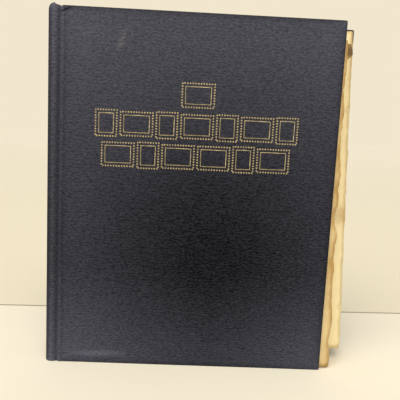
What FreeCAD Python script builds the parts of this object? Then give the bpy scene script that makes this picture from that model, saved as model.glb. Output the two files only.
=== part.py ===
import FreeCAD, Part
import os
import Sketcher
from FreeCAD import Vector

os.makedirs("parts", exist_ok=True)
doc = FreeCAD.newDocument("StampAlbum")

# Driving dimensions in millimetres: +X along the cover, +Y to the back cover, +Z up from the tail.
sheet = doc.addObject("Spreadsheet::Sheet", "Dimensions")
dimensions = {
    "cover_height": 295,
    "cover_width": 226.8,
    "board_gauge": 2.6,
    "cloth_gauge": 0.5,
    "edge_round": 0.45,
    "lining_gauge": 0.3,
    "turn_in": 15,
    "album_gauge": 46,
    "spine_x": -135.33,
    "front_edge_x": -122.3,
    "rack": 18,
    "groove_radius": 1.5,
    "groove_clearance": 0.15,
    "shoulder_radius": 5,
    "head_cap": 2,
    "spine_board_gauge": 2,
    "strip_x": -103,
    "strip_width": 22,
    "strip_gauge": 2,
    "strip_inset": 4.2,
    "strip_height": 277,
    "flap_lap": 5.5,
    "post_inset": 11,
    "post_radius": 2.4,
    "post_spacing": 216,
    "post_head_radius": 5,
    "post_head_gauge": 1.2,
    "screw_radius": 1.5,
    "screw_length": 12,
    "slot_width": 1.2,
    "slot_depth": 0.6,
    "running_clearance": 0.05,
    "seat_clearance": 0.2,
    "margin_gap": 0.06,
    "crease_gap": 6,
    "section_count": 20,
    "leaves_per_section": 5,
    "leaf_gauge": 0.2,
    "leaf_pitch": 0.25,
    "leaf_height": 279,
    "leaf_lift": 6,
    "front_pack": 10,
    "head_creep": 0.35,
    "front_head_x": 106.2,
    "front_tail_x": 113,
    "front_tail_creep": 0.35,
    "front_droop": 5,
    "rear_head_x": 113.4,
    "rear_tail_x": 127.6,
    "rear_tail_creep": 0.6,
    "rear_droop": -5,
}
for row, (alias, number) in enumerate(dimensions.items(), start=1):
    sheet.set(f"A{row}", alias)
    sheet.set(f"B{row}", str(number))
    sheet.setAlias(f"B{row}", alias)
doc.recompute()

parts = []


def size(alias):
    return float(sheet.get(alias))


def formula(words):
    # turn "cover_height / 2" into a formula on the sheet's cells
    for alias in sorted(dimensions, key=len, reverse=True):
        words = words.replace(alias, "@" + str(list(dimensions).index(alias)) + "@")
    for place, alias in enumerate(dimensions):
        words = words.replace("@" + str(place) + "@", "Dimensions." + alias)
    return words


probe = doc.addObject("Part::Vertex", "Probe")


def reading(words):
    # what a formula comes to, for a sketch's first shape
    probe.setExpression("X", formula(words))
    probe.recompute()
    return probe.X.Value


def bind(thing, **formulas):
    for prop, words in formulas.items():
        thing.setExpression(prop.replace("_at_", ".Base.").replace("Place", "Placement"), formula(words))
    return thing


def keep(thing, label):
    thing.Label = label
    parts.append(thing)
    return thing


def box(name, x, y, z, length, width, height):
    block = doc.addObject("Part::Box", name)
    return bind(block, Place_at_x=x, Place_at_y=y, Place_at_z=z, Length=length, Width=width, Height=height)


def rod(name, x, y, z, radius, length):
    # a round bar along +Y
    bar = doc.addObject("Part::Cylinder", name)
    bar.Placement = FreeCAD.Placement(Vector(), FreeCAD.Rotation(Vector(1, 0, 0), -90))
    return bind(bar, Place_at_x=x, Place_at_y=y, Place_at_z=z, Radius=radius, Height=length)


def cut(name, base, *tools):
    for count, tool in enumerate(tools):
        trimmed = doc.addObject("Part::Cut", f"{name}{count}")
        trimmed.Base = base
        trimmed.Tool = tool
        base = trimmed
    return base


def soften(name, block, radius, face_y):
    # rounds the four edges round a box's outer face
    block.recompute()
    bend = size(radius)
    outer_edges = [place for place, edge in enumerate(block.Shape.Edges, start=1)
                   if all(abs(corner.Y - reading(face_y)) < bend for corner in edge.Vertexes)]
    rounded = doc.addObject("Part::Fillet", name)
    rounded.Base = block
    rounded.Edges = [(place, bend, bend) for place in outer_edges]
    return rounded


def fuse(name, first, second):
    joined = doc.addObject("Part::Fuse", name)
    joined.Base = first
    joined.Tool = second
    return joined


# Covers: a board, the cloth drawn over it and turned in, and the paper pasted down inside
def cover(side, edge_x, outer_y, inward):
    inner_y = f"{outer_y} + {inward} * (board_gauge + 2 * cloth_gauge)"
    low_y = outer_y if inward > 0 else inner_y
    name = side.capitalize()
    board = box(f"{name}Board", f"{edge_x} + cloth_gauge", f"{low_y} + cloth_gauge", "cloth_gauge",
                "cover_width - 2 * cloth_gauge", "board_gauge", "cover_height - 2 * cloth_gauge")
    keep(board, f"{side}_board")
    wrap = box(f"{name}Wrap", edge_x, low_y, "0",
               "cover_width", "board_gauge + 2 * cloth_gauge", "cover_height")
    core = box(f"{name}Core", f"{edge_x} + cloth_gauge", f"{low_y} + cloth_gauge", "cloth_gauge",
               "cover_width - 2 * cloth_gauge", "board_gauge", "cover_height - 2 * cloth_gauge")
    window_y = f"{low_y} + cloth_gauge + board_gauge" if inward > 0 else low_y
    window = box(f"{name}Window", f"{edge_x} + turn_in", window_y, "turn_in",
                 "cover_width - 2 * turn_in", "cloth_gauge", "cover_height - 2 * turn_in")
    softened = soften(f"{name}Softened", wrap, "edge_round", outer_y)
    keep(cut(f"{name}Cloth", softened, core, window), f"{side}_cover_cloth")
    paper_y = window_y if inward > 0 else f"{low_y} + cloth_gauge - lining_gauge"
    keep(box(f"{name}Pastedown", f"{edge_x} + turn_in", paper_y, "turn_in",
             "cover_width - 2 * turn_in", "lining_gauge", "cover_height - 2 * turn_in"), f"{side}_pastedown")


cover("front", "front_edge_x", "-album_gauge / 2", 1)
cover("back", "front_edge_x + rack", "album_gauge / 2", -1)


# Thin bands bent along a path seen from above, such as the cloth and lining round the spine
def offset_path(points, gauge):
    # the same path moved to its left by gauge, with mitred corners
    moved = []
    for place, point in enumerate(points):
        before = points[max(place - 1, 0)]
        after = points[min(place + 1, len(points) - 1)]
        first = (point - before) if place else (after - point)
        second = (after - point) if place < len(points) - 1 else first
        left_first = Vector(-first.y, first.x, 0).normalize()
        left_second = Vector(-second.y, second.x, 0).normalize()
        mitre = left_first + left_second
        moved.append(point + mitre * (2 * gauge / mitre.dot(mitre)))
    return moved


def band(points, gauge, low, height):
    rim = points + offset_path(points, gauge)[::-1]
    wire = Part.makePolygon(rim + rim[:1])
    return Part.Face(wire).extrude(Vector(0, 0, height)).translated(Vector(0, 0, low))


def upright_edges_at(shape, points):
    return [edge for edge in shape.Edges
            if any((edge.valueAt(edge.FirstParameter) - p).cross(Vector(0, 0, 1)).Length < 0.01
                   and (edge.valueAt(edge.LastParameter) - p).cross(Vector(0, 0, 1)).Length < 0.01
                   for p in points)]


half_gauge = size("album_gauge") / 2
groove = 2 * size("groove_radius")
front_lip = Vector(size("front_edge_x") - groove, -half_gauge, 0)
front_shoulder = Vector(size("spine_x"), -half_gauge, 0)
rear_shoulder = Vector(size("spine_x") + size("rack"), half_gauge, 0)
rear_lip = Vector(size("front_edge_x") + size("rack") - groove, half_gauge, 0)
spine_path = [rear_lip, rear_shoulder, front_shoulder, front_lip]


def rounded_prism(points, radius, height):
    # a prism over the points, with the upright edges at the two middle points rounded
    prism = Part.Face(Part.makePolygon(points + points[:1])).extrude(Vector(0, 0, height))
    return prism.makeFillet(radius, upright_edges_at(prism, points[1:3]))


def spine_cloth():
    gauge = size("cloth_gauge")
    height = size("cover_height") + size("head_cap")
    reach = Vector(size("rack"), 0, 0)
    inside = offset_path(spine_path, gauge)
    hollow = [inside[0] + reach, inside[1], inside[2], inside[3] + reach]
    outer = rounded_prism(spine_path, size("shoulder_radius"), height)
    return outer.cut(rounded_prism(hollow, size("shoulder_radius") - gauge, height))


def spine_board():
    # the flat stiffener between the two rounded shoulders
    flank = offset_path([rear_shoulder, front_shoulder], size("cloth_gauge"))
    along = (flank[1] - flank[0]).normalize() * 2 * size("shoulder_radius")
    return band([flank[0] + along, flank[1] - along], size("spine_board_gauge"),
                size("cloth_gauge"), size("cover_height") - 2 * size("cloth_gauge"))


def spine_lining():
    # one strip of lining cloth from the rear binding strip, round inside the spine, to the front strip
    depth = size("cloth_gauge") + size("spine_board_gauge")
    flank = offset_path([rear_shoulder, front_shoulder], depth)
    along = (flank[1] - flank[0]).normalize() * 2 * size("shoulder_radius")
    flap_end = size("strip_x") + size("flap_lap")
    flap_y = half_gauge - size("strip_inset") + size("lining_gauge")
    path = [Vector(flap_end, flap_y, 0), Vector((flank[0] + along).x + depth, flap_y, 0), flank[0] + along,
            flank[1] - along, Vector((flank[1] - along).x + depth, -flap_y, 0), Vector(flap_end, -flap_y, 0)]
    low = (size("cover_height") - size("strip_height")) / 2
    return band(path, size("lining_gauge"), low, size("strip_height"))


def joint_cloth(lip, inward):
    # the half-round channel of cloth pressed into the groove beside the board
    centre = lip + Vector(size("groove_radius"), 0, 0)
    outer = size("groove_radius") - size("groove_clearance")
    inner = outer - size("cloth_gauge")
    side = Vector(1, 0, 0)
    far = Vector(0, inward, 0)
    outside = Part.Arc(centre - side * outer, centre + far * outer, centre + side * outer).toShape()
    inside = Part.Arc(centre + side * inner, centre + far * inner, centre - side * inner).toShape()
    ends = [Part.makeLine(centre + side * outer, centre + side * inner),
            Part.makeLine(centre - side * inner, centre - side * outer)]
    channel = Part.Face(Part.Wire([outside, ends[0], inside, ends[1]]))
    return channel.extrude(Vector(0, 0, size("cover_height")))


for label, shape in (("spine_cloth", spine_cloth()), ("spine_board", spine_board()),
                     ("spine_lining", spine_lining()), ("front_joint_cloth", joint_cloth(front_lip, 1)),
                     ("rear_joint_cloth", joint_cloth(rear_lip, -1))):
    piece = doc.addObject("Part::Feature", label.title().replace("_", ""))
    piece.Shape = shape
    keep(piece, label)

# Binding strips, counterbored on the outside for the flush post heads and screw heads
post_x = "strip_x + post_inset"
strip_low = "(cover_height - strip_height) / 2"
front_face = "-album_gauge / 2 + strip_inset"
rear_face = "album_gauge / 2 - strip_inset"
post_heights = {"upper": "(cover_height + post_spacing) / 2", "lower": "(cover_height - post_spacing) / 2"}


def binding_strip(side, low_y, counterbore_y):
    name = side.capitalize()
    blank = box(f"{name}Strip", "strip_x", low_y, strip_low, "strip_width", "strip_gauge", "strip_height")
    bores = []
    for level, z in post_heights.items():
        bores.append(rod(f"{name}{level}Hole", post_x, low_y, z,
                         "post_radius + running_clearance", "strip_gauge"))
        bores.append(rod(f"{name}{level}Counterbore", post_x, counterbore_y, z,
                         "post_head_radius + seat_clearance", "post_head_gauge"))
    keep(cut(f"{name}StripBored", blank, *bores), f"{side}_binding_strip")


binding_strip("front", front_face, front_face)
binding_strip("rear", f"{rear_face} - strip_gauge", f"{rear_face} - post_head_gauge")


# Screw posts: a flanged barrel from the rear, closed by a slotted screw at the front
def post(level, z):
    name = level.capitalize()
    barrel_y = f"{front_face} + post_head_gauge"
    barrel = rod(f"{name}Barrel", post_x, barrel_y, z, "post_radius",
                 "album_gauge - 2 * strip_inset - post_head_gauge")
    flange = rod(f"{name}Flange", post_x, f"{rear_face} - post_head_gauge", z,
                 "post_head_radius", "post_head_gauge")
    bore = rod(f"{name}Bore", post_x, barrel_y, z, "screw_radius + running_clearance",
               "screw_length + seat_clearance")
    keep(cut(f"{name}PostBored", fuse(f"{name}Post", barrel, flange), bore), f"{level}_post")
    head = rod(f"{name}ScrewHead", post_x, front_face, z, "post_head_radius",
               "post_head_gauge - running_clearance")
    shank = rod(f"{name}ScrewShank", post_x, front_face, z, "screw_radius", "post_head_gauge + screw_length")
    slot = box(f"{name}Slot", f"{post_x} - post_head_radius", front_face, f"{z} - slot_width / 2",
               "2 * post_head_radius", "slot_depth", "slot_width")
    keep(cut(f"{name}ScrewSlotted", fuse(f"{name}Screw", head, shank), slot), f"{level}_post_screw")


for level, z in post_heights.items():
    post(level, z)


# Sketches on a body's own upright plane, with every corner held by a distance from the origin
def plane_sketch(body, name):
    sketch = body.newObject("Sketcher::SketchObject", name)
    plane = [feature for feature in body.Origin.OriginFeatures if feature.Role == "XZ_Plane"][0]
    sketch.AttachmentSupport = [(plane, "")]
    sketch.MapMode = "FlatFace"
    return sketch


def outline(sketch, corners):
    # a closed outline whose corners are given as pairs of formulas
    count = len(corners)
    spots = [Vector(reading(x), reading(z), 0) for x, z in corners]
    for place in range(count):
        sketch.addGeometry(Part.LineSegment(spots[place], spots[(place + 1) % count]))
    for place in range(count):
        sketch.addConstraint(Sketcher.Constraint("Coincident", place, 2, (place + 1) % count, 1))
    for place, (x, z) in enumerate(corners):
        for kind, words in (("DistanceX", x), ("DistanceY", z)):
            index = sketch.addConstraint(Sketcher.Constraint(kind, -1, 1, place, 1, reading(words)))
            sketch.setExpression(f"Constraints[{index}]", formula(words))


def layers(body, sketch, gauge, pitch, count):
    # pads the sketch towards +Y and repeats it as separate sheets
    pad = body.newObject("PartDesign::Pad", body.Name + "Pad")
    pad.Profile = sketch
    pad.Reversed = True
    pad.setExpression("Length", formula(gauge))
    doc.recompute()
    pattern = body.newObject("PartDesign::LinearPattern", body.Name + "Pattern")
    pattern.Originals = [pad]
    pattern.Direction = (sketch, ["N_Axis"])
    pattern.Reversed = True
    pattern.setExpression("Length", formula(f"({pitch}) * ({count} - 1)"))
    pattern.setExpression("Occurrences", formula(count))
    body.Tip = pattern
    return pattern


section_pitch = "(album_gauge - 2 * strip_inset - 2 * strip_gauge) / section_count"
stack_y = "-album_gauge / 2 + strip_inset + strip_gauge"


def punched_margins():
    # the bound margins of the leaves, one thickness for each section, drilled for both posts
    body = doc.addObject("PartDesign::Body", "PunchedMargins")
    body.AllowCompound = True
    sketch = plane_sketch(body, "MarginOutline")
    low = "leaf_lift"
    high = "leaf_lift + leaf_height"
    right = "strip_x + strip_width"
    outline(sketch, [("strip_x", low), (right, low), (right, high), ("strip_x", high)])
    for z in post_heights.values():
        hole = sketch.addGeometry(Part.Circle(Vector(reading(post_x), reading(z), 0), Vector(0, 0, 1),
                                              size("post_radius") + size("seat_clearance")))
        for kind, words in (("DistanceX", post_x), ("DistanceY", z)):
            index = sketch.addConstraint(Sketcher.Constraint(kind, -1, 1, hole, 3, reading(words)))
            sketch.setExpression(f"Constraints[{index}]", formula(words))
        index = sketch.addConstraint(
            Sketcher.Constraint("Radius", hole, size("post_radius") + size("seat_clearance")))
        sketch.setExpression(f"Constraints[{index}]", formula("post_radius + seat_clearance"))
    layers(body, sketch, f"{section_pitch} - margin_gap", section_pitch, "section_count")
    bind(body, Place_at_y=f"{stack_y} + margin_gap / 2")
    keep(body, "punched_margins")


def leaf_section(number):
    # the front pack of leaves sags; the rear pack rides up and stands out further, most at the tail
    in_front = number <= size("front_pack")
    pack = "front" if in_front else "rear"
    order = f"({number - 1} - {'0' if in_front else 'front_pack'})"
    head_x = f"{pack}_head_x + head_creep * {order}"
    tail_x = f"{pack}_tail_x + {pack}_tail_creep * {order}"
    droop = f"{pack}_droop"
    crease = "strip_x + strip_width + crease_gap"
    low = "leaf_lift"
    high = "leaf_lift + leaf_height"
    body = doc.addObject("PartDesign::Body", f"LeafSection{number:02d}")
    body.AllowCompound = True
    sketch = plane_sketch(body, f"LeafOutline{number:02d}")
    outline(sketch, [(crease, low), (tail_x, f"{low} - {droop}"), (head_x, f"{high} - {droop}"),
                     (crease, high)])
    layers(body, sketch, "leaf_gauge", "leaf_pitch", "leaves_per_section")
    swell = "(leaf_pitch * (leaves_per_section - 1) + leaf_gauge)"
    bind(body, Place_at_y=f"{stack_y} + ({section_pitch}) * {number - 0.5} - {swell} / 2")
    keep(body, f"leaf_section_{number:02d}")


punched_margins()
for number in range(1, int(size("section_count")) + 1):
    leaf_section(number)

doc.recompute()
for thing in doc.Objects:
    if {"Invalid", "Error"} & set(thing.State):
        raise RuntimeError(f"{thing.Label} did not build: {thing.State}")
for piece in parts:
    if piece.Shape.isNull() or not piece.Shape.isValid():
        raise RuntimeError(f"{piece.Label} has no sound shape")
for piece in parts:
    piece.Shape.exportStep(f"parts/{piece.Label}.step")
    limits = piece.Shape.BoundBox
    print(f"{piece.Label:20s} solids {len(piece.Shape.Solids):3d} volume {piece.Shape.Volume:10.1f}"
          f" x {limits.XMin:7.1f} {limits.XMax:7.1f} y {limits.YMin:6.2f} {limits.YMax:6.2f}"
          f" z {limits.ZMin:6.1f} {limits.ZMax:6.1f}")
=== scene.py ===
import bmesh
import bpy
import math
import numpy as np
from mathutils import Matrix, Vector, noise


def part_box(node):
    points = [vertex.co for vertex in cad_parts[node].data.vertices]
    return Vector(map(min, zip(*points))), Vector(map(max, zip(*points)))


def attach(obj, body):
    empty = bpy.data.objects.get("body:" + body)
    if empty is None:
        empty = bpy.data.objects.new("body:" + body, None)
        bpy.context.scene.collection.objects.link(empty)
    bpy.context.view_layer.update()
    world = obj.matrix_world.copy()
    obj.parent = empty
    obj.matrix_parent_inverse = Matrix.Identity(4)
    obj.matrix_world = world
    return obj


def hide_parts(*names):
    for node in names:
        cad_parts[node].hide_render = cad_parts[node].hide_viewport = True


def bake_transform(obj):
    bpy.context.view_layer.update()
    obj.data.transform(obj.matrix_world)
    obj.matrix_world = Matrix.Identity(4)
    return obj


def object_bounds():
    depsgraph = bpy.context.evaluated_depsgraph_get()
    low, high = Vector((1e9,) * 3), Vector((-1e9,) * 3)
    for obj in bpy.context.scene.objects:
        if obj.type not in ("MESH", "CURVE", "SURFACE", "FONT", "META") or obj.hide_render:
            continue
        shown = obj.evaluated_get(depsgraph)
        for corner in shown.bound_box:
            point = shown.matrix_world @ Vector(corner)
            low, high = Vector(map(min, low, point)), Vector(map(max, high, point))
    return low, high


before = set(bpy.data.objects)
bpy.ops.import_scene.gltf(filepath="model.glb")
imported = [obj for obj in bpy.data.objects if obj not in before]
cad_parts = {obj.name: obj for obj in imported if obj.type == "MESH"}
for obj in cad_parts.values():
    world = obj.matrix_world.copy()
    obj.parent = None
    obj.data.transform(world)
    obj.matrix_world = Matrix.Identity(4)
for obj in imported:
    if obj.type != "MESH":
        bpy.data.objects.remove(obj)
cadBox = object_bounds()
mm = 0.001
scene = bpy.context.scene
scene.view_settings.view_transform = "Standard"
print("frame loaded:", len(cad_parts), "nodes")


class Flow:  # a socket that can be used in plain sums
    def __init__(self, tree, socket):
        self.tree = tree
        self.socket = socket

    def make(self, kind, settings=None, sockets=None, out=0):
        node = self.tree.nodes.new(kind)
        for name, value in (settings or {}).items():
            setattr(node, name, value)
        for key, value in (sockets or {}).items():
            plug = node.inputs[key]
            if isinstance(value, Flow):
                self.tree.links.new(value.socket, plug)
            else:
                plug.default_value = value
        return Flow(self.tree, node.outputs[out])

    def sum(self, operation, left, right):
        return self.make("ShaderNodeMath", {"operation": operation}, {0: left, 1: right})

    def __add__(self, other):
        return self.sum("ADD", self, other)

    def __radd__(self, other):
        return self.sum("ADD", other, self)

    def __sub__(self, other):
        return self.sum("SUBTRACT", self, other)

    def __rsub__(self, other):
        return self.sum("SUBTRACT", other, self)

    def __mul__(self, other):
        return self.sum("MULTIPLY", self, other)

    def __rmul__(self, other):
        return self.sum("MULTIPLY", other, self)

    def power(self, other):
        return self.sum("POWER", self, other)

    def between(self, low, high):  # 1 inside the two limits, 0 outside them
        return self.sum("GREATER_THAN", self, low) * self.sum("LESS_THAN", self, high)

    def fraction(self):
        return self.make("ShaderNodeMath", {"operation": "FRACT"}, {0: self})

    def clamped(self):
        return self.make("ShaderNodeClamp", {}, {0: self})

    def ramp(self, low, high):  # 0 at low, 1 at high
        return self.make("ShaderNodeMapRange", {}, {0: self, 1: low, 2: high})

    def mixed(self, first, second):  # this value mixes two colours
        return self.make("ShaderNodeMix", {"data_type": "RGBA"}, {0: self, 6: first, 7: second}, 2)

    def part(self, letter):  # one coordinate of a place
        return self.make("ShaderNodeSeparateXYZ", {}, {0: self}, letter)

    def attribute(self, name):
        return self.make("ShaderNodeAttribute", {"attribute_name": name}, {}, "Fac")


def colour(red, green, blue):
    return (red, green, blue, 1)


def newMaterial(name):
    material = bpy.data.materials.new(name)
    material.use_nodes = True
    tree = material.node_tree
    return material, Flow(tree, None), tree.nodes["Principled BSDF"]


def finishMaterial(flow, shader, links, fixed=None):
    for name, value in links.items():
        flow.tree.links.new(value.socket, shader.inputs[name])
    for name, value in (fixed or {}).items():
        shader.inputs[name].default_value = value


def bumpOf(flow, height, settings):
    return flow.make("ShaderNodeBump", {}, {"Height": height, "Strength": settings["bumpStrength"],
                                            "Distance": settings["bumpDepth"]})


def objectPlace(flow, scale=(1, 1, 1)):
    place = flow.make("ShaderNodeTexCoord", {}, {}, "Object")
    return flow.make("ShaderNodeMapping", {}, {"Vector": place, "Scale": scale})


def noiseAt(flow, place, scale=1.0, detail=3.0, rough=0.55, distortion=0.0):
    return flow.make("ShaderNodeTexNoise", {}, {"Vector": place, "Scale": scale, "Detail": detail,
                                                "Roughness": rough, "Distortion": distortion})


# the cloth: colours, weave, painted sheen, wear and painted shade, and three marks (a scuff, a painted
# highlight and a crease's painted shade), with places in metres from the frame's origin
bookCloth = {
    "dark": colour(0.0012, 0.0014, 0.0032), "faded": colour(0.095, 0.098, 0.136),
    "worn": colour(0.19, 0.18, 0.17), "rubbed": colour(0.035, 0.018, 0.012),
    "ripple": {"Scale": 125, "Distortion": 7.5, "Detail": 1.0, "Detail Scale": 2.6}, "rippleShare": 0.38,
    "grainScale": (400, 400, 820), "grain": {"detail": 1.5, "rough": 0.5, "distortion": 0.25},
    "grainRange": (0.33, 0.67), "grainShare": 0.62, "grainContrast": 0.46, "grainLeast": 0.45,
    "cloud": {"scale": 9, "detail": 4, "rough": 0.6}, "cloudShare": 0.12,
    # painted sheen: the low middle oval where the cloth stays deepest, how much paler it is painted away
    # from it, and the paler tail
    "darkAcross": 0.008, "darkUp": 0.095, "darkWide": 0.130, "darkTall": 0.125, "darkRange": (0.15, 1.95),
    "fadeCurve": 1.25, "fadeMost": 0.72, "fadeLeast": 0.07,
    "tailRange": (0.085, 0.0), "tailFade": 0.25, "tailMiddle": 0.4, "tailSides": 0.95,
    "rub": {"scale": 260, "detail": 4, "rough": 0.65}, "rubRange": (0.36, 0.78), "rubShare": 0.7,
    "speck": {"scale": 420, "detail": 2, "rough": 0.5}, "speckRange": (0.80, 0.84), "speckShare": 0.25,
    "patch": {"scale": 90, "detail": 3, "rough": 0.6}, "patchRange": (0.45, 0.75), "patchShare": 0.6,
    "sunkShare": 0.75, "frontRange": (0.0, -0.01),
    "scuff": {"across": -0.0745, "up": 0.270, "wide": 0.0032, "tall": 0.0105,
              "leanAcross": 0.28, "leanUp": 0},
    # a painted highlight: a pale band low on the front cover, near the tail edge
    "smear": {"across": -0.0875, "up": 0.0088, "wide": 0.027, "tall": 0.0034,
              "leanAcross": 0, "leanUp": 0.02},
    # a crease's painted shade: a thin dark line near the head, by the joint
    "crease": {"across": -0.1185, "up": 0.2918, "wide": 0.0065, "tall": 0.0011,
               "leanAcross": 0, "leanUp": 0.42},
    "scuffRange": (0.25, 0.6), "scuffShare": 0.3, "smearShare": 0.4, "creaseShare": 0.85,
    "rough": 0.6, "cloudRough": 0.2, "weaveRough": 0.15, "shine": 0.06,
    "bumpStrength": 0.5, "bumpDepth": 0.5 * mm,
}


def leaningSpot(across, up, spot):  # 1 in the middle of a leaning oval mark, 0 outside it
    offAcross = across - spot["across"]
    offUp = up - spot["up"]
    wide = (offAcross - offUp * spot["leanAcross"]) * (1 / spot["wide"])
    tall = (offUp - offAcross * spot["leanUp"]) * (1 / spot["tall"])
    return (1 - (wide * wide + tall * tall)).clamped()


def clothSheen(across, up, cloud, weave, settings):  # painted sheen: paler towards the top, the sides and the tail, deepest in a low oval in the middle; cloudy tone and weave contrast are added on top
    offWide = (across - settings["darkAcross"]) * (1 / settings["darkWide"])
    offTall = (up - settings["darkUp"]) * (1 / settings["darkTall"])
    away = (offWide * offWide + offTall * offTall).power(0.5)
    sideways = (offWide * offWide).power(0.5)
    sheenAndTone = away.ramp(*settings["darkRange"]).power(settings["fadeCurve"]) * settings["fadeMost"]
    sheenAndTone = sheenAndTone + (cloud - 0.5) * settings["cloudShare"] + settings["fadeLeast"]
    # painted sheen along the tail, stronger towards the sides
    tail = settings["tailFade"] * (settings["tailMiddle"] + settings["tailSides"] * sideways)
    sheenAndTone = sheenAndTone + up.ramp(*settings["tailRange"]) * tail
    return (sheenAndTone + (weave - 0.5) * settings["grainContrast"] * (settings["grainLeast"] + sheenAndTone)).clamped()


def makeBookCloth(name, settings):
    material, flow, shader = newMaterial(name)
    plain = objectPlace(flow)
    across, back, up = (plain.part(letter) for letter in "XYZ")
    ripple = flow.make("ShaderNodeTexWave", {"bands_direction": "Z"},
                       {"Vector": plain, **settings["ripple"]}, 1)
    grain = noiseAt(flow, objectPlace(flow, settings["grainScale"]), **settings["grain"])
    weave = ripple * settings["rippleShare"] + grain.ramp(*settings["grainRange"]) * settings["grainShare"]
    cloud = noiseAt(flow, plain, **settings["cloud"])
    sheenAndTone = clothSheen(across, up, cloud, weave, settings)
    wear = flow.attribute("wear")  # above 0 the cloth is rubbed pale; below 0 it is darkened with painted shade in the grooves, on the spine's outer shoulder and along the cover rims, and mottled reddish-brown with wear
    shadeAndBrownWear = (0 - wear).clamped()
    rub = (wear * noiseAt(flow, plain, **settings["rub"]).ramp(*settings["rubRange"])).clamped()
    speck = noiseAt(flow, plain, **settings["speck"]).ramp(*settings["speckRange"])
    patch = noiseAt(flow, plain, **settings["patch"]).ramp(*settings["patchRange"])
    onFront = back.ramp(*settings["frontRange"])
    scuff = leaningSpot(across, up, settings["scuff"]) * grain.ramp(*settings["scuffRange"]) * onFront
    # painted highlight: a pale band low near the tail edge
    smear = leaningSpot(across, up, settings["smear"]) * onFront
    # painted shade of a crease near the head
    crease = leaningSpot(across, up, settings["crease"]) * onFront
    # painted shade darkens the crease, the grooves, the spine's outer shoulder and the cover rims
    kept = (1 - crease * settings["creaseShare"]) * (1 - shadeAndBrownWear * settings["sunkShare"])
    base = (sheenAndTone * kept + smear * settings["smearShare"]).mixed(settings["dark"], settings["faded"])
    base = (shadeAndBrownWear * shadeAndBrownWear * patch * settings["patchShare"]).mixed(base, settings["rubbed"])
    pale = rub * settings["rubShare"] + speck * settings["speckShare"] + scuff * settings["scuffShare"]
    base = pale.clamped().mixed(base, settings["worn"])
    rough = settings["rough"] + (cloud - 0.5) * settings["cloudRough"]
    rough = rough - (weave - 0.5) * settings["weaveRough"]
    finishMaterial(flow, shader, {
        "Base Color": base,
        "Roughness": rough,
        "Normal": bumpOf(flow, weave, settings)}, {"Specular IOR Level": settings["shine"]})
    return material


goldFoil = {
    "bright": colour(0.46, 0.375, 0.22), "dull": colour(0.18, 0.145, 0.09),
    "wornOff": {"scale": 330, "detail": 4, "rough": 0.7}, "wornRange": (0.42, 0.72),
    "rough": 0.42, "wornRough": 0.25, "metal": 0.75, "wornMetal": 0.45,
    "grainScale": (260, 260, 520), "grain": {"detail": 2}, "bumpStrength": 0.25, "bumpDepth": 0.3 * mm,
}


def makeGoldFoil(name, settings):
    material, flow, shader = newMaterial(name)
    wornOff = noiseAt(flow, objectPlace(flow), **settings["wornOff"]).ramp(*settings["wornRange"])
    grain = noiseAt(flow, objectPlace(flow, settings["grainScale"]), **settings["grain"])
    finishMaterial(flow, shader, {
        "Base Color": wornOff.mixed(settings["bright"], settings["dull"]),
        "Roughness": settings["rough"] + wornOff * settings["wornRough"],
        "Metallic": settings["metal"] - wornOff * settings["wornMetal"],
        "Normal": bumpOf(flow, grain, settings)})
    return material


# the leaves: aged paper and its printed boxes, with box sizes in tenths of a metre
leafPaper = {
    "cream": colour(0.95, 0.78, 0.43), "pale": colour(0.99, 0.90, 0.58), "tan": colour(0.50, 0.31, 0.11),
    "deep": colour(0.17, 0.11, 0.05), "print": colour(0.30, 0.27, 0.24),
    "blot": {"scale": 38, "detail": 4, "rough": 0.6}, "blotShare": 0.5,
    "fibre": {"scale": 900, "detail": 3, "rough": 0.6}, "fibreShare": 0.4,
    "fox": {"scale": 210, "detail": 2, "rough": 0.5}, "foxRange": (0.72, 0.82), "foxShare": 0.35,
    "edgeTan": 0.75, "edgeBlot": 1.4, "dullTan": 0.22, "printShare": 0.7,
    "rough": 0.82, "fibreRough": 0.15, "shine": 0.25, "bumpStrength": 0.15, "bumpDepth": 0.25 * mm,
    "boxWide": 0.38, "boxTall": 0.46, "boxGap": 0.12, "lineWide": 0.006,
    "firstAcross": 0.2, "firstUp": 0.34, "boxColumns": 4, "boxRows": 5,
}


def makeLeafPaper(name, settings):
    material, flow, shader = newMaterial(name)
    plain = objectPlace(flow)
    edge = flow.attribute("edge")
    tone = flow.attribute("tone")
    blot = noiseAt(flow, plain, **settings["blot"])
    fibre = noiseAt(flow, plain, **settings["fibre"])
    fox = noiseAt(flow, plain, **settings["fox"]).ramp(*settings["foxRange"]) * settings["foxShare"]
    paleness = (tone + (blot - 0.5) * settings["blotShare"]).clamped()
    base = paleness.mixed(settings["cream"], settings["pale"])
    browningAndShade = edge * (settings["edgeTan"] + (blot - 0.5) * settings["edgeBlot"])
    base = (browningAndShade + (1 - tone) * settings["dullTan"]).clamped().mixed(base, settings["tan"])
    base = (edge - 1).clamped().mixed(base, settings["deep"])
    base = fox.mixed(base, settings["tan"])
    page = flow.make("ShaderNodeUVMap", {"uv_map": "page"})
    base = (boxLines(page, settings) * settings["printShare"]).mixed(base, settings["print"])
    height = fibre * settings["fibreShare"] + blot
    finishMaterial(flow, shader, {
        "Base Color": base,
        "Roughness": settings["rough"] + (fibre - 0.5) * settings["fibreRough"],
        "Normal": bumpOf(flow, height, settings)}, {"Specular IOR Level": settings["shine"]})
    return material


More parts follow.
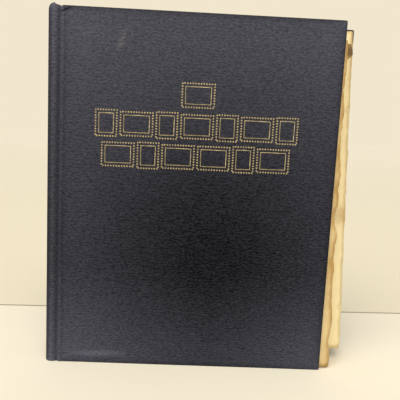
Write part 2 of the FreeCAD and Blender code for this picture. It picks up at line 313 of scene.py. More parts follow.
def boxLines(page, settings):  # rows of empty boxes printed for stamps, inside a margin
    across, up = page.part("X"), page.part("Y")
    wide, tall, gap = settings["boxWide"], settings["boxTall"], settings["boxGap"]
    left, foot = settings["firstAcross"], settings["firstUp"]
    column = ((across - left) * (1 / wide)).fraction()
    row = ((up - foot) * (1 / tall)).fraction()
    inWide, inTall = gap + settings["lineWide"] / wide, gap + settings["lineWide"] / tall
    box = column.between(gap, 1 - gap) * row.between(gap, 1 - gap)
    core = column.between(inWide, 1 - inWide) * row.between(inTall, 1 - inTall)
    right, head = left + settings["boxColumns"] * wide, foot + settings["boxRows"] * tall
    return (box - core) * across.between(left, right) * up.between(foot, head)


endpaper = {"light": colour(0.80, 0.70, 0.51), "dark": colour(0.60, 0.47, 0.29), "blotScale": 22}
binderBoard = {"light": colour(0.40, 0.34, 0.26), "dark": colour(0.27, 0.23, 0.18), "blotScale": 300}
plainPaper = {
    "blot": {"detail": 4, "rough": 0.62}, "blotRange": (0.3, 0.95), "blotShare": 0.6,
    "fibre": {"scale": 1100, "detail": 3, "rough": 0.6}, "fibreShare": 0.25,
    "rough": 0.8, "blotRough": 0.2, "bumpStrength": 0.2, "bumpDepth": 0.2 * mm,
}


def makePlainPaper(name, tints, settings):
    material, flow, shader = newMaterial(name)
    plain = objectPlace(flow)
    blot = noiseAt(flow, plain, tints["blotScale"], **settings["blot"])
    fibre = noiseAt(flow, plain, **settings["fibre"])
    shade = blot.ramp(*settings["blotRange"]) * settings["blotShare"]
    shade = shade + (fibre - 0.5) * settings["fibreShare"]
    finishMaterial(flow, shader, {
        "Base Color": shade.clamped().mixed(tints["light"], tints["dark"]),
        "Roughness": settings["rough"] + (blot - 0.5) * settings["blotRough"],
        "Normal": bumpOf(flow, fibre, settings)})
    return material


marginPaper = {
    "light": leafPaper["cream"], "dark": leafPaper["tan"],
    "lineScale": (12, 4200, 12), "lines": {"detail": 2}, "lineRange": (0.3, 0.7), "lineShare": 0.6,
    "blot": {"scale": 45, "detail": 4}, "blotShare": 0.4,
    "rough": 0.8, "blotRough": 0.2, "bumpStrength": 0.4, "bumpDepth": 0.2 * mm,
}


def makeMarginPaper(name, settings):  # the clamped margins show the edges of their leaves as fine lines
    material, flow, shader = newMaterial(name)
    lines = noiseAt(flow, objectPlace(flow, settings["lineScale"]), **settings["lines"])
    blot = noiseAt(flow, objectPlace(flow), **settings["blot"])
    shade = lines.ramp(*settings["lineRange"]) * settings["lineShare"] + blot * settings["blotShare"]
    finishMaterial(flow, shader, {
        "Base Color": shade.clamped().mixed(settings["light"], settings["dark"]),
        "Roughness": settings["rough"] + (blot - 0.5) * settings["blotRough"],
        "Normal": bumpOf(flow, lines, settings)})
    return material


liningCloth = {
    "light": colour(0.075, 0.075, 0.085), "dark": colour(0.03, 0.03, 0.036),
    "warpScale": (3000, 3000, 500), "weftScale": (500, 500, 3000), "thread": {"detail": 1},
    "weaveRange": (0.35, 0.65), "rough": 0.78, "weaveRough": 0.3,
    "bumpStrength": 0.4, "bumpDepth": 0.2 * mm,
}


def makeLiningCloth(name, settings):
    material, flow, shader = newMaterial(name)
    warp = noiseAt(flow, objectPlace(flow, settings["warpScale"]), **settings["thread"])
    weft = noiseAt(flow, objectPlace(flow, settings["weftScale"]), **settings["thread"])
    weave = (warp + weft) * 0.5
    finishMaterial(flow, shader, {
        "Base Color": weave.ramp(*settings["weaveRange"]).mixed(settings["dark"], settings["light"]),
        "Roughness": settings["rough"] + (weave - 0.5) * settings["weaveRough"],
        "Normal": bumpOf(flow, weave, settings)})
    return material


postMetal = {
    "bright": colour(0.74, 0.74, 0.73), "grimy": colour(0.42, 0.41, 0.39),
    "turnScale": (2200, 60, 2200), "turned": {"detail": 2},
    "grime": {"scale": 240, "detail": 4, "rough": 0.6}, "grimeRange": (0.45, 0.8),
    "rough": 0.28, "turnRough": 0.2, "bumpStrength": 0.15, "bumpDepth": 0.1 * mm,
}


def makePostMetal(name, settings):
    material, flow, shader = newMaterial(name)
    turned = noiseAt(flow, objectPlace(flow, settings["turnScale"]), **settings["turned"])
    grime = noiseAt(flow, objectPlace(flow), **settings["grime"]).ramp(*settings["grimeRange"])
    finishMaterial(flow, shader, {
        "Base Color": grime.mixed(settings["bright"], settings["grimy"]),
        "Roughness": settings["rough"] + turned * settings["turnRough"],
        "Normal": bumpOf(flow, turned, settings)}, {"Metallic": 1.0})
    return material


clothMaterial = makeBookCloth("book cloth", bookCloth)
goldMaterial = makeGoldFoil("gold foil", goldFoil)
leafMaterial = makeLeafPaper("leaf paper", leafPaper)
endpaperMaterial = makePlainPaper("endpaper", endpaper, plainPaper)
boardMaterial = makePlainPaper("binder's board", binderBoard, plainPaper)
marginMaterial = makeMarginPaper("margin paper", marginPaper)
liningMaterial = makeLiningCloth("lining cloth", liningCloth)
postMaterial = makePostMetal("post aluminium", postMetal)
print("materials made")


def newPiece(name, points, faces, material, smooth=True):
    mesh = bpy.data.meshes.new(name)
    mesh.from_pydata([tuple(p) for p in points], [], faces)
    mesh.update()
    mesh.materials.append(material)
    if smooth:
        mesh.shade_smooth()
    else:
        mesh.shade_flat()
    piece = bpy.data.objects.new(name, mesh)
    scene.collection.objects.link(piece)
    return piece


def addAttribute(piece, name, values):
    attribute = piece.data.attributes.new(name, "FLOAT", "POINT")
    attribute.data.foreach_set("value", np.asarray(values, np.float32))


def closedSheet(front, wide, tall, gauge, offset=0):  # rows of points and a layer behind, joined at the rim
    count = wide * tall
    points = front + [(x, y + gauge, z) for x, y, z in front]
    faces = []
    for j in range(tall - 1):
        for i in range(wide - 1):
            a = offset + j * wide + i
            faces.append([a, a + 1, a + wide + 1, a + wide])
            faces.append([count + a, count + a + wide, count + a + wide + 1, count + a + 1])
    rim = list(range(wide)) + [j * wide + wide - 1 for j in range(1, tall)]
    rim += [count - 1 - i for i in range(1, wide)] + [j * wide for j in range(tall - 2, 0, -1)]
    for first, second in zip(rim, rim[1:] + rim[:1]):
        faces.append([offset + second, offset + first, offset + count + first, offset + count + second])
    return points, faces


# covers: cloth slabs with eased edges, dark along the rim with painted shade and reddish-brown wear, and
# rubbed pale at the fore-edge corners
coverLook = {
    "edgeRadius": 0.95 * mm, "cornerRadius": 1.8 * mm, "drape": 1 * mm, "columns": 18, "rows": 24,
    "rim": [0, 0.2 * mm, 0.5 * mm, 0.95 * mm, 2 * mm, 5 * mm],
    "thickRim": [0, 0.2 * mm, 0.5 * mm, 0.95 * mm],
    "warp": 0.18 * mm, "warpAcross": 16, "warpUp": 13, "warpSlice": 3.1,
    "rimDark": 0.95, "rimWide": 2.2 * mm, "mergeGap": 0.004 * mm,
    "cornerFrom": 12 * mm, "cornerReach": 16 * mm, "cornerLeast": 0.62,
}


def rimSteps(low, high, steps, count):  # a run of places, close together near both ends
    near = [low + step for step in steps]
    far = [high - step for step in reversed(steps)]
    inner = list(np.linspace(near[-1], far[0], count + 2)[1:-1])
    return near + inner + far


def slabGrid(low, high, look):  # the six gridded sides of a box, which share their edge points
    grid = [rimSteps(low.x, high.x, look["rim"], look["columns"]),
            rimSteps(low.y, high.y, look["thickRim"], 0),
            rimSteps(low.z, high.z, look["rim"], look["rows"])]
    points, faces, index = [], [], {}
    for axis in range(3):
        u, v = [other for other in range(3) if other != axis]
        for end in (0, len(grid[axis]) - 1):
            for i in range(len(grid[u]) - 1):
                for j in range(len(grid[v]) - 1):
                    ring = []
                    for stepU, stepV in ((0, 0), (1, 0), (1, 1), (0, 1)):
                        key = [0, 0, 0]
                        key[axis], key[u], key[v] = end, i + stepU, j + stepV
                        key = tuple(key)
                        if key not in index:
                            index[key] = len(points)
                            points.append(Vector([steps[k] for steps, k in zip(grid, key)]))
                        ring.append(index[key])
                    outward = (end > 0) == (axis != 1)
                    faces.append(ring if outward else ring[::-1])
    return points, faces


def coverWearAndShade(p, low, high, look):
    inset = min(p.x - low.x, high.x - p.x, p.z - low.z, high.z - p.z)
    pastX = max(0, p.x - high.x + look["cornerFrom"])
    pastZ = max(0, abs(p.z - (low.z + high.z) / 2) - (high.z - low.z) / 2 + look["cornerFrom"])
    corner = max(0, math.hypot(pastX, pastZ) / look["cornerReach"] - look["cornerLeast"])
    # above 0: rubbed pale at the fore-edge corners; below 0: painted shade along the rounded rim, which the
    # cloth material also mottles with reddish-brown wear
    return corner - look["rimDark"] * math.exp(-inset / look["rimWide"])


def limited(value, low, high):
    return min(max(value, low), high)


def easeEdges(p, low, high, look):  # rounds the two fore-edge corners, then every edge, and warps the board
    radius, corner = look["edgeRadius"], look["cornerRadius"]
    flat = Vector((limited(p.x, low.x, high.x - corner), 0, limited(p.z, low.z + corner, high.z - corner)))
    away = Vector((p.x - flat.x, 0, p.z - flat.z))
    if away.x > 0 and away.z != 0 and away.length > corner:
        away = away.normalized() * corner
        p.x, p.z = flat.x + away.x, flat.z + away.z
    core = Vector([limited(p[k], low[k] + radius, high[k] - radius) for k in range(3)])
    lift = p - core
    if lift.length > radius:
        p.xyz = core + lift.normalized() * radius
    p.y += warpAt(p.x, p.z, look)


def warpAt(x, z, look):
    place = Vector((x * look["warpAcross"], look["warpSlice"], z * look["warpUp"]))
    return look["warp"] * noise.noise(place)


def makeCover(side):
    low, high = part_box(f"{side}_cover_cloth")
    low.x += coverLook["drape"]  # the cloth of the groove covers the board's edge
    points, faces = slabGrid(low, high, coverLook)
    wear = [coverWearAndShade(p, low, high, coverLook) for p in points]
    for p in points:
        easeEdges(p, low, high, coverLook)
    piece = newPiece(f"{side}CoverCloth", points, faces, clothMaterial)
    addAttribute(piece, "wear", wear)
    merged = bmesh.new()
    merged.from_mesh(piece.data)
    bmesh.ops.remove_doubles(merged, verts=merged.verts, dist=coverLook["mergeGap"])
    merged.to_mesh(piece.data)
    merged.free()
    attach(piece, f"{side}_cover")
    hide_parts(f"{side}_cover_cloth")


endpaperLook = {"square": 4.5 * mm, "joint": 7 * mm, "thick": 0.16 * mm, "bed": 0.25 * mm,
                "columns": 13, "rows": 17}


def makeEndpaper(side):  # the pasted paper lies over the turned-in cloth, short of the cover's edges
    low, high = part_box(f"{side}_cover_cloth")
    square, thick, bed = endpaperLook["square"], endpaperLook["thick"], endpaperLook["bed"]
    inner = high.y if side == "front" else low.y - thick
    xs = np.linspace(low.x + endpaperLook["joint"], high.x - square, endpaperLook["columns"])
    zs = np.linspace(low.z + square, high.z - square, endpaperLook["rows"])
    sheet = [(x, inner - bed + warpAt(x, z, coverLook), z) for z in zs for x in xs]
    points, faces = closedSheet(sheet, len(xs), len(zs), thick + 2 * bed)
    piece = newPiece(f"{side}Endpaper", points, faces, endpaperMaterial, False)
    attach(piece, f"{side}_cover")
    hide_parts(f"{side}_pastedown")


for side in ("front", "back"):
    makeCover(side)
    makeEndpaper(side)
print("covers made")


# the spine's cloth and the two grooves are bands that follow a path seen from above
def bandPiece(name, path, gauge, rings, material):
    path = [Vector((p[0], p[1])) for p in path]
    inward = []
    for i in range(len(path)):
        along = path[min(i + 1, len(path) - 1)] - path[max(i - 1, 0)]
        inward.append(Vector((-along.y, along.x)).normalized())
    points, faces = [], []
    count = len(path)
    for z, inset, lean in rings:
        for p, n in zip(path, inward):
            q = p + n * (inset + lean)
            points.append((q.x, q.y, z))
        for p, n in reversed(list(zip(path, inward))):
            q = p + n * (gauge - inset + lean)
            points.append((q.x, q.y, z))
    loop = 2 * count
    for r in range(len(rings) - 1):
        for i in range(loop):
            a, b = r * loop + i, r * loop + (i + 1) % loop
            faces.append([a, b, b + loop, a + loop])
    last = (len(rings) - 1) * loop
    for i in range(count - 1):
        faces.append([i + 1, i, loop - 1 - i, loop - 2 - i])
        faces.append([last + i, last + i + 1, last + loop - 2 - i, last + loop - 1 - i])
    return newPiece(name, points, faces, material)


def bandRings(look, top):  # height, inset of both faces and lean of each ring, from tail to head
    rings = list(look["tailRings"])
    rings += [(z, 0, 0) for z in np.linspace(look["firstRing"], top - look["lastRing"], look["ringCount"])]
    return rings + [(top - down, inset, lean) for down, inset, lean in look["headRings"]]


spineLook = {
    "shoulderRadius": 5 * mm, "gauge": 1.2 * mm, "arcPoints": 14, "jointWide": 3 * mm,
    "tailRings": [(0, 0.45 * mm, 0), (0.15 * mm, 0.2 * mm, 0), (0.5 * mm, 0, 0)],
    "firstRing": 2 * mm, "lastRing": 7 * mm, "ringCount": 60,
    "headRings": [(5 * mm, 0, 0.05 * mm), (3.6 * mm, 0, 0.25 * mm), (2.4 * mm, 0, 0.7 * mm),
                  (1.4 * mm, 0, 1.3 * mm), (0.7 * mm, 0.05 * mm, 1.9 * mm),
                  (0.25 * mm, 0.2 * mm, 2.5 * mm), (0, 0.5 * mm, 2.9 * mm)],
    "headDip": 2.2 * mm, "dipTall": 9 * mm, "dipWide": 3 * mm,
    "ridgeIn": 1.6 * mm, "ridgeWide": 0.9 * mm, "ridgeDeep": 2 * mm, "ridgeWear": 0.42,
    "endTall": 2.5 * mm, "endWear": 0.9, "turnIn": 3.2 * mm, "turnWide": 2 * mm, "turnDark": 0.6,
}


def roundCorner(before, corner, after, radius, count):
    first, second = (before - corner).normalized(), (after - corner).normalized()
    half = first.angle(second) / 2
    reach = radius / math.tan(half)
    centre = corner + (first + second).normalized() * radius / math.sin(half)
    start, end = corner + first * reach - centre, corner + second * reach - centre
    turn = start.angle_signed(end)
    return [centre + Matrix.Rotation(-turn * t, 2) @ start for t in np.linspace(0, 1, count)]


def spinePath(low, high, frontLip, look):  # from the rear lip round both shoulders of the slanted spine
    rearLip = Vector((high.x, high.y))
    radius, count = look["shoulderRadius"], look["arcPoints"]
    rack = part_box("back_cover_cloth")[0].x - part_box("front_cover_cloth")[0].x
    slant = math.atan2(high.y - low.y, rack)
    front = Vector((low.x + radius - radius / math.tan(slant / 2), low.y))
    rear = Vector((front.x + rack, high.y))
    path = [rearLip] + roundCorner(rearLip, rear, front, radius, count)
    return path + roundCorner(rear, front, frontLip, radius, count) + [frontLip]


def makeSpine():
    look = spineLook
    low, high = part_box("spine_cloth")
    frontLip = Vector((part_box("front_cover_cloth")[0].x - look["jointWide"], low.y))
    path = spinePath(low, high, frontLip, look)
    piece = bandPiece("spineCloth", path, look["gauge"], bandRings(look, high.z), clothMaterial)
    wear = []
    for v in piece.data.vertices:
        inFront = v.co.y < 0
        fromLip = frontLip.x - v.co.x
        nearHead = max(0, 1 - (high.z - v.co.z) / look["dipTall"])
        nearLip = max(0, 1 - fromLip / look["dipWide"]) if inFront else 0
        v.co.z -= look["headDip"] * nearHead * nearLip ** 2
        onRidge = v.co.y < low.y + look["ridgeDeep"]
        ridge = math.exp(-abs(look["ridgeIn"] - fromLip) / look["ridgeWide"]) if onRidge else 0
        ends = math.exp(-min(v.co.z, high.z - v.co.z) / look["endTall"])
        # painted shade: the outer shoulder, turned away from the light, is darkened
        turned = limited((fromLip - look["turnIn"]) / look["turnWide"], 0, 1) if inFront else 0
        wear.append(min(1, look["ridgeWear"] * ridge + look["endWear"] * ends - look["turnDark"] * turned))
    addAttribute(piece, "wear", wear)
    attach(piece, "binding")
    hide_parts("spine_cloth")


grooveLook = {
    "gauge": 0.5 * mm, "depth": 1.15 * mm, "points": 19, "proud": 0.03 * mm,
    "lipLap": 0.8 * mm, "boardLap": 1.3 * mm, "tongue": 1.6 * mm, "bendIn": 0.1 * mm,
    "tailRings": [(0.1 * mm, 0.12 * mm, 0), (0.4 * mm, 0, 0)],
    "firstRing": 2 * mm, "lastRing": 4 * mm, "ringCount": 40,
    "headRings": [(2 * mm, 0, 0.1 * mm), (1 * mm, 0, 0.4 * mm), (0.4 * mm, 0.1 * mm, 0.8 * mm)],
    "shadeDark": 0.5, "shadeWide": 1.1 * mm,
}


def makeGroove(side, body):  # a draped valley that bends between the spine and its cover
    look = grooveLook
    low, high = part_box(f"{side}_joint_cloth")
    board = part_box(f"{body}_cloth")[0].x
    lip = board - spineLook["jointWide"]
    face, into = (low.y, 1) if side == "front" else (high.y, -1)
    start, end = lip - look["lipLap"], board + look["boardLap"]
    path = []
    for t in np.linspace(0, 1, look["points"]):
        drop = look["depth"] * (0.5 - 0.5 * math.cos(2 * math.pi * t)) - look["proud"]
        path.append((start + (end - start) * t, face + into * drop))
    path.append((end + look["tongue"], face - into * look["proud"]))
    if into < 0:
        path.reverse()
    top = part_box(f"{body}_cloth")[1].z
    piece = bandPiece(f"{side}Groove", path, look["gauge"], bandRings(look, top), clothMaterial)
    offMiddle = [(v.co.x - (lip + board) / 2) / look["shadeWide"] for v in piece.data.vertices]
    addAttribute(piece, "wear", [-look["shadeDark"] * math.exp(-off ** 2) for off in offMiddle])
    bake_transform(piece)
    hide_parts(f"{side}_joint_cloth")


makeSpine()
makeGroove("front", "front_cover")
makeGroove("rear", "back_cover")
print("spine and grooves made")


# leaves: thin closed sheets with a ragged, browned fore-edge
# places along that edge run from 0 at the tail to 1 at the head
leafLook = {
    "seed": 20, "leaves": 5, "rows": 64,
    "innerColumns": np.linspace(0, 0.86, 9), "foreColumns": [0.92, 0.965, 0.985, 1.0],
    "gauge": 0.17 * mm, "root": 3 * mm, "floorGap": 1 * mm, "pageScale": 10,
    "slip": 0.9 * mm, "slipRange": (-1, 0.35), "liftRange": (-0.6, 0.6), "headReach": 2.4 * mm,
    "spread": 0.11, "wave": 0.8 * mm, "waveAcross": 9, "waveUp": 11, "waveSlice": 0.4,
    "ragged": 0.85 * mm, "raggedScale": 40, "raggedSlice": 1.7, "layerScale": 4000,
    "fineShare": 0.5, "fineScale": 130, "fineSlice": 7.7, "frontRagged": 0.75 * mm, "rearRagged": 0.2 * mm,
    "packScale": 17, "packLayer": 3.3, "packSlice": 5.2, "packSteps": 2.6,
    "chips": 4, "chipDeep": 3.2 * mm, "chipCurve": 3, "chipTall": 5 * mm, "chipRange": (0.3, 1),
    "corner": 0.6 * mm, "cornerTall": 0.006,
    "tearDeep": 5.5 * mm, "tearRange": (0.4, 1), "tearPlace": 0.47, "tearTall": 0.03, "tearSharp": 4,
    "flagReach": 6.8 * mm, "flagPlace": 0.980, "flagTall": 0.026, "flagSharp": 6, "flagBrown": 2.0,
    "stain": 1.0, "stainPlace": 0.44, "stainDeep": 4 * mm, "stainFade": 25,
    # the front leaves are browner and duller deeper in from the fore-edge, partly aged paper and partly
    # painted shade beside the front cover's edge; the rear leaves are browner towards the head
    "frontFade": 8 * mm, "rearFade": 1.2 * mm, "tailTan": 0.35, "endShare": 0.8, "endLeast": 0.4 * mm,
    "frontTone": (0.0, 0.5), "rearTone": (0.6, 1.0),
}
sections = sorted(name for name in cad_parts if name.startswith("leaf_section"))


def leafCorners(node):  # heights of the crease's ends, and the fore-edge's two corners, read from the solid
    places = np.array([v.co[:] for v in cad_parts[node].data.vertices])
    acrossAll, upAll = places[:, 0], places[:, 2]
    middle = (upAll.min() + upAll.max()) / 2
    crease = upAll[acrossAll < acrossAll.min() + 0.01 * mm]
    tail, head = places[upAll < middle], places[upAll > middle]
    return crease.min(), crease.max(), tail[tail[:, 0].argmax()], head[head[:, 0].argmax()]


def wavering(along, scale, layer, noiseSlice):
    return np.array([noise.noise(Vector((a * scale, layer, noiseSlice))) for a in along])


def hump(along, place, reach, sharp):  # 1 at a place, falling off to 0, more squarely the sharper it is
    return np.exp(-((along - place) / reach) ** sharp)


def leafBite(along, restY, tallness, dice, look):  # how far the fore-edge stands out at each place
    inFront = restY < 0
    layer = restY * look["layerScale"]
    bite = look["ragged"] * wavering(along, look["raggedScale"], layer, look["raggedSlice"])
    fine = wavering(along, look["fineScale"], layer, look["fineSlice"])
    bite += look["ragged"] * look["fineShare"] * fine
    steps = look["packSteps"] * wavering(along, look["packScale"], look["packLayer"], look["packSlice"])
    bite += look["frontRagged" if inFront else "rearRagged"] * np.round(steps)
    for _ in range(look["chips"]):
        centre = dice.uniform(0, 1)
        deep = dice.uniform(0, 1) ** look["chipCurve"] * look["chipDeep"]
        tall = dice.uniform(*look["chipRange"]) * look["chipTall"] / tallness
        bite -= deep * hump(along, centre, tall, 2)
    ends = np.exp(-along / look["cornerTall"]) + np.exp(-(1 - along) / look["cornerTall"])
    bite -= look["corner"] * dice.uniform(0, 1) * ends
    if inFront:
        tear = hump(along, look["tearPlace"], look["tearTall"], look["tearSharp"])
        bite -= look["tearDeep"] * dice.uniform(*look["tearRange"]) * tear
    return bite


def leafSheet(node, order, dice, look, hasFlag):
    low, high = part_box(node)
    creaseTail, creaseHead, tailFore, headFore = leafCorners(node)
    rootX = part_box("punched_margins")[1].x - look["root"]
    restY = low.y + (high.y - low.y - look["gauge"]) / (look["leaves"] - 1) * order
    inFront = restY < 0
    slip = dice.uniform(*look["slipRange"]) * look["slip"]
    lift = dice.uniform(*look["liftRange"]) * look["slip"]
    along = np.linspace(0, 1, look["rows"] + 1)
    bite = leafBite(along, restY, high.z - low.z, dice, look)
    flag = hump(along, look["flagPlace"], look["flagTall"], look["flagSharp"]) * hasFlag
    bite += flag * look["flagReach"]
    stain = hump(along, look["stainPlace"], look["tearTall"], look["tearSharp"])
    stain *= look["stain"] * hump(restY, 0, look["stainDeep"], 2)
    across = [None, *look["innerColumns"], *look["foreColumns"]]  # the first one is the root in the margin
    front, edges, pages = [], [], []
    for a, out, torn, stained in zip(along, bite, flag, stain):
        creaseZ = creaseTail + (creaseHead - creaseTail) * a
        foreX = tailFore[0] + (headFore[0] - tailFore[0]) * a + slip + out
        foreX = min(foreX + (0 if inFront else look["headReach"] * a), cadBox[1].x)
        foreZ = tailFore[2] + (headFore[2] - tailFore[2]) * a + lift
        endIn = min(foreZ - tailFore[2], headFore[2] - foreZ) * look["endShare"] + look["endLeast"]
        for column in across:
            c = column or 0
            x = rootX if column is None else low.x + (foreX - low.x) * c
            z = creaseZ + (foreZ - creaseZ) * c
            sway = noise.noise(Vector((x * look["waveAcross"], look["waveSlice"], z * look["waveUp"])))
            y = restY * (1 + look["spread"] * c) + look["wave"] * c * c * sway
            front.append((x, y, max(z, look["floorGap"])))
            inset = max(0, min((1 - c) * (foreX - low.x), endIn))
            # front leaves: brown reaches deeper from the fore-edge, partly aged paper and partly painted
            # shade; rear leaves: browner towards the head
            tan = math.exp(-inset / look["frontFade" if inFront else "rearFade"])
            tan *= 1 if inFront else look["tailTan"] + (1 - look["tailTan"]) * a
            brown = stained * math.exp(-(1 - c) * look["stainFade"])
            edges.append(max(brown, tan, torn * look["flagBrown"]))
            pages.append(((x - low.x) * look["pageScale"], z * look["pageScale"]))
    return front, edges, pages, len(across), len(along)


def makeSection(node):
    number = int(node[-2:])
    lastInFront = len(sections) // 2
    dice = np.random.RandomState(leafLook["seed"] + number)
    points, faces, edges, tones, pages = [], [], [], [], []
    for order in range(leafLook["leaves"]):
        hasFlag = number == lastInFront and order == leafLook["leaves"] - 1
        front, edge, page, wide, tall = leafSheet(node, order, dice, leafLook, hasFlag)
        sheetPoints, sheetFaces = closedSheet(front, wide, tall, leafLook["gauge"], len(points))
        points += sheetPoints
        faces += sheetFaces
        edges += edge * 2
        pages += page * 2
        # front sections get duller tones, partly aged paper and partly painted shade
        toneRange = leafLook["frontTone" if number <= lastInFront else "rearTone"]
        tones += [dice.uniform(*toneRange)] * (2 * len(front))
    piece = newPiece(node.replace("_", "") + "Leaves", points, faces, leafMaterial)
    addAttribute(piece, "edge", edges)
    addAttribute(piece, "tone", tones)
    layer = piece.data.uv_layers.new(name="page")
    corners = np.zeros(len(piece.data.loops), np.int32)
    piece.data.loops.foreach_get("vertex_index", corners)
    layer.data.foreach_set("uv", np.array(pages, np.float32)[corners].ravel())
    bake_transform(piece)
    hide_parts(node)


for node in sections:
    makeSection(node)
print("leaves made:", len(sections), "sections")

plainFinish = [  # solids that keep their own shape
    (boardMaterial, ["spine_board", "front_board", "back_board"]),
    (liningMaterial, ["spine_lining", "front_binding_strip", "rear_binding_strip"]),
    (marginMaterial, ["punched_margins"]),
    (postMaterial, ["upper_post", "lower_post", "upper_post_screw", "lower_post_screw"]),
]
for material, nodes in plainFinish:
    for node in nodes:
        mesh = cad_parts[node].data
        mesh.materials.clear()
        mesh.materials.append(material)

# gold stamping: rows of blank perforated stamp frames
tallStamp, wideStamp = (17 * mm, 21 * mm), (26 * mm, 19 * mm)
stampLook = {
    "pitch": 2.2 * mm, "dot": 0.7 * mm, "dotSides": 10, "line": 0.8 * mm, "inset": 2.6 * mm,
    "foil": 0.3 * mm, "proud": 0.02 * mm, "gap": 3 * mm, "centre": (-11.7 * mm, 205.2 * mm),
    "rows": [(25 * mm, [wideStamp]), (0, [tallStamp, wideStamp] * 3 + [tallStamp]),
             (-25 * mm, [wideStamp, tallStamp, wideStamp, wideStamp, tallStamp, wideStamp])],
}


def stampTree():  # one blank stamp: a row of perforations round a thin frame
    tree = bpy.data.node_groups.new("stampFrame", "GeometryNodeTree")
    tree.interface.new_socket("Geometry", in_out="OUTPUT", socket_type="NodeSocketGeometry")
    for name in ("Width", "Height", "Pitch", "Dot", "Line", "Foil", "Inset"):
        tree.interface.new_socket(name, in_out="INPUT", socket_type="NodeSocketFloat")
    tree.interface.new_socket("Place", in_out="INPUT", socket_type="NodeSocketVector")
    tree.interface.new_socket("Finish", in_out="INPUT", socket_type="NodeSocketMaterial")
    flow = Flow(tree, None)
    given = tree.nodes.new("NodeGroupInput").outputs
    size = {item.name: Flow(tree, item) for item in given if item.name}
    rim = flow.make("GeometryNodeCurvePrimitiveQuadrilateral", {},
                    {"Width": size["Width"], "Height": size["Height"]})
    holes = flow.make("GeometryNodeResampleCurve", {"mode": "LENGTH"},
                      {"Curve": rim, "Length": size["Pitch"]})
    dot = flow.make("GeometryNodeMeshCylinder", {},
                    {"Vertices": stampLook["dotSides"], "Radius": size["Dot"], "Depth": size["Foil"]})
    dots = flow.make("GeometryNodeInstanceOnPoints", {}, {"Points": holes, "Instance": dot})
    innerWide, innerTall = size["Width"] - size["Inset"], size["Height"] - size["Inset"]
    frameLine = flow.make("GeometryNodeCurvePrimitiveQuadrilateral", {},
                          {"Width": innerWide, "Height": innerTall})
    section = flow.make("GeometryNodeCurvePrimitiveQuadrilateral", {},
                        {"Width": size["Line"], "Height": size["Foil"]})
    line = flow.make("GeometryNodeCurveToMesh", {}, {"Curve": frameLine, "Profile Curve": section})
    both = flow.make("GeometryNodeJoinGeometry")
    for part in (line, dots):
        tree.links.new(part.socket, both.socket.node.inputs[0])
    upright = flow.make("GeometryNodeTransform", {}, {"Geometry": both, "Translation": size["Place"],
                                                      "Rotation": (math.pi / 2, 0, 0)})
    real = flow.make("GeometryNodeRealizeInstances", {}, {0: upright})
    gilt = flow.make("GeometryNodeSetMaterial", {}, {"Geometry": real, "Material": size["Finish"]})
    tree.links.new(gilt.socket, tree.nodes.new("NodeGroupOutput").inputs[0])
    return tree


def treeMesh(tree, values):  # runs a node tree and returns its result as a plain mesh
    carrier = bpy.data.objects.new("carrier", bpy.data.meshes.new("carrier"))
    scene.collection.objects.link(carrier)
    modifier = carrier.modifiers.new("tree", "NODES")
    modifier.node_group = tree
    for item in tree.interface.items_tree:
        if item.in_out == "INPUT":
            modifier[item.identifier] = values[item.name]
    bpy.context.view_layer.update()
    mesh = bpy.data.meshes.new_from_object(carrier.evaluated_get(bpy.context.evaluated_depsgraph_get()))
    bpy.data.objects.remove(carrier)
    return mesh


def makeStamping():
    look = stampLook
    tree = stampTree()
    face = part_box("front_cover_cloth")[0].y - look["proud"]
    stamping = bmesh.new()
    for up, sizes in look["rows"]:
        rowWide = sum(wide for wide, tall in sizes) + look["gap"] * (len(sizes) - 1)
        x = look["centre"][0] - rowWide / 2
        for wide, tall in sizes:
            place = (x + wide / 2, face, look["centre"][1] + up)
            stamping.from_mesh(treeMesh(tree, {
                "Width": wide, "Height": tall, "Pitch": look["pitch"], "Dot": look["dot"],
                "Line": look["line"], "Foil": look["foil"], "Inset": 2 * look["inset"],
                "Finish": goldMaterial, "Place": place}))
            x += wide + look["gap"]
    bmesh.ops.recalc_face_normals(stamping, faces=stamping.faces)
    piece = newPiece("goldStamping", [], [], goldMaterial, False)
    stamping.to_mesh(piece.data)
    stamping.free()
    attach(piece, "front_cover")


makeStamping()
print("gold stamping made")

# stage, light and camera
studio = {
    "floor": (0.92, 0.86, 0.73), "floorReach": 6.0, "tint": {"scale": 3, "detail": 3}, "tintMost": 1.02,
    "rough": 0.75, "tintRough": 0.1, "shine": 0.1,
    "seam": colour(0.30, 0.24, 0.16), "seamShare": 0.85, "seamHalf": 1.6 * mm,
    "backEdge": 0.1213, "backSlant": 0.045, "behind": colour(0.85, 0.78, 0.62), "behindReach": 3.0,
    "light": (1.0, 0.965, 0.88), "skyLight": 0.45, "sunLight": 0.5,
}


def tinted(values, factor):
    return colour(*[value * factor for value in values])


def makeFloor():
    reach = studio["floorReach"]
    corners = [(-reach, -reach, 0), (reach, -reach, 0), (reach, reach, 0), (-reach, reach, 0)]
    material, flow, shader = newMaterial("floor")
    plain = objectPlace(flow)
    tint = noiseAt(flow, plain, **studio["tint"])
    base = tint.mixed(tinted(studio["floor"], 1), tinted(studio["floor"], studio["tintMost"]))
    depth = plain.part("Y") - studio["backEdge"] - plain.part("X") * studio["backSlant"]
    behind = depth.sum("GREATER_THAN", depth, 0.0) * depth.ramp(studio["behindReach"], 0.0)
    base = behind.mixed(base, studio["behind"])  # the floor is darker just behind the seam
    seam = flow.make("ShaderNodeMath", {"operation": "COMPARE"}, {0: depth, 1: 0.0, 2: studio["seamHalf"]})
    base = (seam * studio["seamShare"]).mixed(base, studio["seam"])
    finishMaterial(flow, shader, {
        "Base Color": base,
        "Roughness": studio["rough"] + tint * studio["tintRough"]}, {"Specular IOR Level": studio["shine"]})
    floor = newPiece("floor", corners, [[0, 1, 2, 3]], material, False)


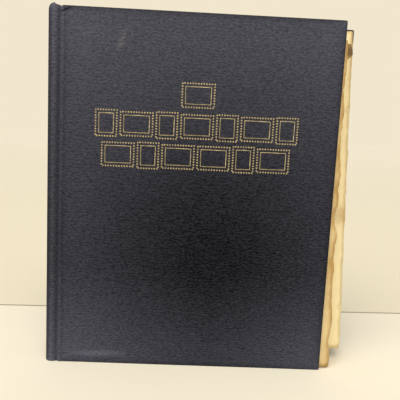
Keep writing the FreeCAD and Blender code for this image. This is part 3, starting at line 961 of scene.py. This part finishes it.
def makeSky():  # what the camera sees of it has the far floor's colour
    world = bpy.data.worlds.new("studio")
    scene.world = world
    world.use_nodes = True
    background = world.node_tree.nodes["Background"]
    flow = Flow(world.node_tree, None)
    cameraRay, glossyRay, clearRay = (flow.make("ShaderNodeLightPath", {}, {}, f"Is {ray} Ray")
                                      for ray in ("Camera", "Glossy", "Transmission"))
    seen = (cameraRay + glossyRay + clearRay).clamped()
    meanTint = (1 + studio["tintMost"]) / 2
    farLight = (studio["skyLight"] + studio["sunLight"]) / studio["skyLight"] * meanTint
    farFloor = [a * b for a, b in zip(studio["floor"], studio["light"])]
    sky = seen.mixed(colour(*studio["light"]), tinted(farFloor, farLight))
    world.node_tree.links.new(sky.socket, background.inputs["Color"])
    background.inputs["Strength"].default_value = studio["skyLight"]


lamps = {"key": {"place": (-0.3, -1.05, 1.5), "aim": (0, -0.1, 0.1), "size": 1.3, "power": 6.5},
         "fill": {"place": (1.1, -0.9, 0.7), "aim": (0, 0, 0.15), "size": 1.2, "power": 1}}
sun = {"height": 50, "side": 15, "softness": 60}  # degrees


def newLight(name, kind, power):
    data = bpy.data.lights.new(name, kind)
    data.energy = power
    data.color = studio["light"]
    light = bpy.data.objects.new(name, data)
    scene.collection.objects.link(light)
    return light


def makeLamps():
    for name, lamp in lamps.items():
        light = newLight(name, "AREA", lamp["power"])
        light.data.size = lamp["size"]
        light.location = lamp["place"]
        ahead = Vector(lamp["aim"]) - Vector(lamp["place"])
        light.rotation_euler = ahead.to_track_quat("-Z", "Y").to_euler()
    height, side = math.radians(sun["height"]), math.radians(sun["side"])
    light = newLight("sun", "SUN", math.pi * studio["sunLight"] / math.sin(height))
    light.data.angle = math.radians(sun["softness"])
    light.rotation_euler = (math.pi / 2 - height, 0, -side)


photoCamera = {"focalPixels": 550, "framePixels": 400, "sensor": 36, "nearest": 0.01,
               "place": (-0.0214, -0.4733, 0.2121), "pitch": 8.41, "yaw": 1.91, "roll": -2.79}


def makeCamera():
    pitch, yaw, roll = (math.radians(photoCamera[turn]) for turn in ("pitch", "yaw", "roll"))
    ahead = Vector((math.sin(yaw) * math.cos(pitch), math.cos(yaw) * math.cos(pitch), -math.sin(pitch)))
    right = Vector((math.cos(yaw), -math.sin(yaw), 0))
    up = right.cross(ahead)
    tiltedRight = math.cos(roll) * right - math.sin(roll) * up
    tiltedUp = math.sin(roll) * right + math.cos(roll) * up
    data = bpy.data.cameras.new("camera")
    data.sensor_width = photoCamera["sensor"]
    data.lens = photoCamera["focalPixels"] / photoCamera["framePixels"] * photoCamera["sensor"]
    data.clip_start = photoCamera["nearest"]
    camera = bpy.data.objects.new("camera", data)
    scene.collection.objects.link(camera)
    facing = Matrix((tiltedRight, tiltedUp, -ahead)).transposed().to_4x4()
    camera.matrix_world = Matrix.Translation(Vector(photoCamera["place"])) @ facing
    scene.camera = camera


makeFloor()
makeSky()
makeLamps()
makeCamera()
print("stage, lamps and camera made")
